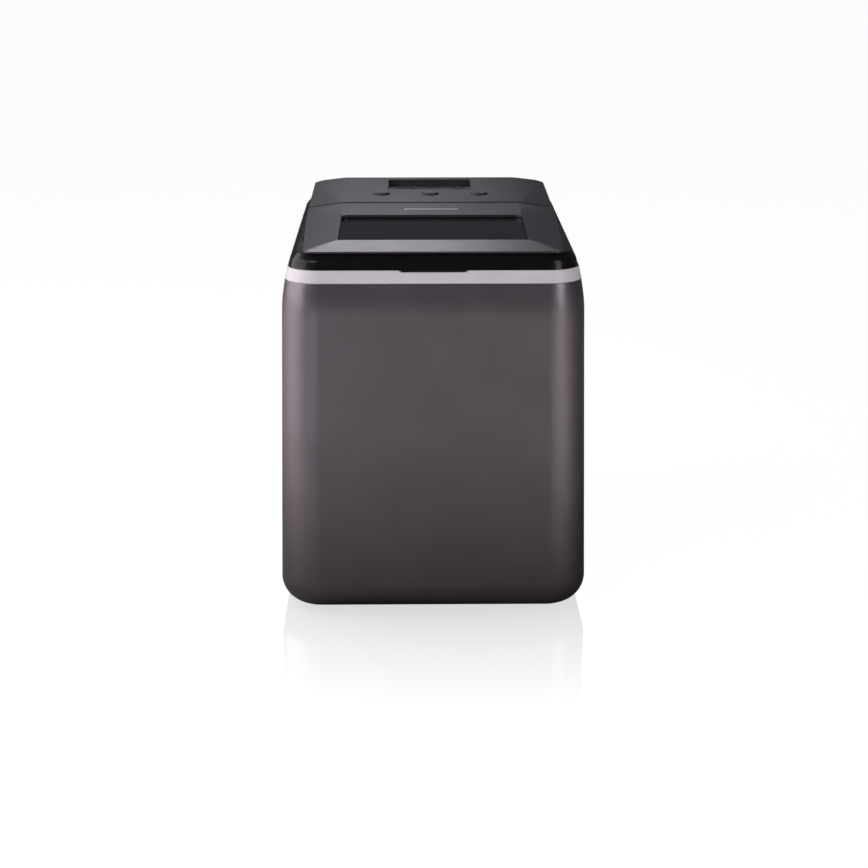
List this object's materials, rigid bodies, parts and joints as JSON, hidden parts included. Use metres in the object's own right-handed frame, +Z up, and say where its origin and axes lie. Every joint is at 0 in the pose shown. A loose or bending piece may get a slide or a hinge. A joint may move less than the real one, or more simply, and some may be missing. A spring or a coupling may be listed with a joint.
{
  "type": "countertop ice maker",
  "caption": "Compact countertop ice maker with a rounded dark housing, hinged windowed lid, control keys, ice bin with basket, freezing unit and cooling machinery.",
  "frame": {"origin": "centre of the outline at the level of the table under the feet", "axes": "+X to the user's right, +Y to the rear, +Z up; the front faces -Y"},
  "size_m": [0.2454, 0.3484, 0.3075],
  "materials": {
    "titanium_paint": "satin metallic paint",
    "light_band": "satin light grey",
    "frame_black": "piano black",
    "top_satin": "fine satin metallic",
    "smoked_pane": "smoked, polished",
    "key_dark": "satin",
    "display_black": "gloss",
    "circuit_board": "solder mask",
    "mark_silver": "polished",
    "bin_grey": "satin moulded",
    "basket_clear": "frosted",
    "foam": "open foam",
    "steel": "zinc plated",
    "nickel": "nickel plated",
    "copper": "drawn copper",
    "fin_aluminium": "mill",
    "compressor_black": "semi-gloss paint",
    "rubber_black": "matt",
    "moulded_black": "fine texture",
    "motor_white": "moulded",
    "silicone": "translucent silicone"
  },
  "bodies": {
    "housing": {"body_shell": "titanium_paint", "base_pan": "moulded_black", "rubber_feet": "rubber_black", "side_grille_left": "moulded_black", "side_grille_right": "moulded_black", "rear_panel": "moulded_black", "rear_screws": "steel", "trim_band": "light_band", "top_frame": "frame_black", "hinge_brackets": "moulded_black", "hinge_pins": "steel", "control_cover": "top_satin", "button_board": "circuit_board", "display_bezel": "key_dark", "display_lens": "display_black", "display_board": "circuit_board", "inner_tub": "bin_grey", "tub_foam": "foam", "bulkhead": "steel", "drip_plate": "bin_grey", "evaporator": "nickel", "evaporator_tube": "copper", "tray_motor": "motor_white", "shaft_bushes": "motor_white", "ice_sensors": "moulded_black", "water_pump": "moulded_black", "pump_hose": "silicone", "float_stem": "motor_white", "compressor": "compressor_black", "compressor_grommets": "rubber_black", "compressor_bolts": "steel", "terminal_cover": "moulded_black", "condenser_tube": "copper", "condenser_fins": "fin_aluminium", "fan_shroud": "moulded_black", "fan_motor": "steel", "filter_drier": "copper", "capillary_tube": "copper", "suction_tube": "copper", "discharge_tube": "copper", "hot_gas_valve": "nickel", "board_tray": "motor_white", "main_board": "circuit_board", "drain_pipe": "bin_grey", "cord_gland": "rubber_black"},
    "lid": {"lid_shell": "top_satin", "lid_window": "smoked_pane", "lid_liner": "moulded_black", "lid_seal": "rubber_black", "lid_mark": "mark_silver"},
    "tray": {"water_tray": "bin_grey"},
    "shovel": {"ice_shovel": "motor_white"},
    "basket": {"ice_basket": "basket_clear"},
    "fan": {"fan_blade": "moulded_black"},
    "impeller": {"pump_impeller": "motor_white"},
    "float": {"float_ring": "bin_grey"},
    "drain_plug": {"drain_cap": "rubber_black"},
    "power_key": {"button_power": "key_dark"},
    "select_key": {"button_select": "key_dark"},
    "clean_key": {"button_clean": "key_dark"}
  },
  "joints": [
    {"name": "lid_hinge", "type": "hinge", "parent": "housing", "child": "lid", "pos_m": [0, 0.0265, 0.297], "axis": [-1, 0, 0], "range_deg": [0, 90]},
    {"name": "basket_lift", "type": "slide", "parent": "housing", "child": "basket", "axis": [0, 0, 1], "range_m": [0, 0.06]},
    {"name": "tray_tilt", "type": "hinge", "parent": "housing", "child": "tray", "pos_m": [0, -0.016, 0.248], "axis": [-1, 0, 0], "range_deg": [0, 45]},
    {"name": "shovel_swing", "type": "hinge", "parent": "housing", "child": "shovel", "pos_m": [0, -0.051, 0.266], "axis": [-1, 0, 0], "range_deg": [0, 30]},
    {"name": "fan_spin", "type": "hinge", "parent": "housing", "child": "fan", "pos_m": [0.0755, 0.1, 0.076], "axis": [1, 0, 0], "continuous": true},
    {"name": "impeller_spin", "type": "hinge", "parent": "housing", "child": "impeller", "pos_m": [-0.062, -0.002, 0.071], "axis": [0, 0, 1], "continuous": true},
    {"name": "float_rise", "type": "slide", "parent": "housing", "child": "float", "axis": [0, 0, 1], "range_m": [0, 0.025]},
    {"name": "drain_pull", "type": "slide", "parent": "housing", "child": "drain_plug", "axis": [0, 1, 0], "range_m": [0, 0.02]},
    {"name": "power_press", "type": "slide", "parent": "housing", "child": "power_key", "axis": [0, 0, -1], "range_m": [0, 0.0012], "stiffness_N_per_m": 400},
    {"name": "select_press", "type": "slide", "parent": "housing", "child": "select_key", "axis": [0, 0, -1], "range_m": [0, 0.0012], "stiffness_N_per_m": 400},
    {"name": "clean_press", "type": "slide", "parent": "housing", "child": "clean_key", "axis": [0, 0, -1], "range_m": [0, 0.0012], "stiffness_N_per_m": 400}
  ],
  "couplings": [
    {"joint": "shovel_swing", "follows": "tray_tilt", "ratio": 0.6667}
  ]
}
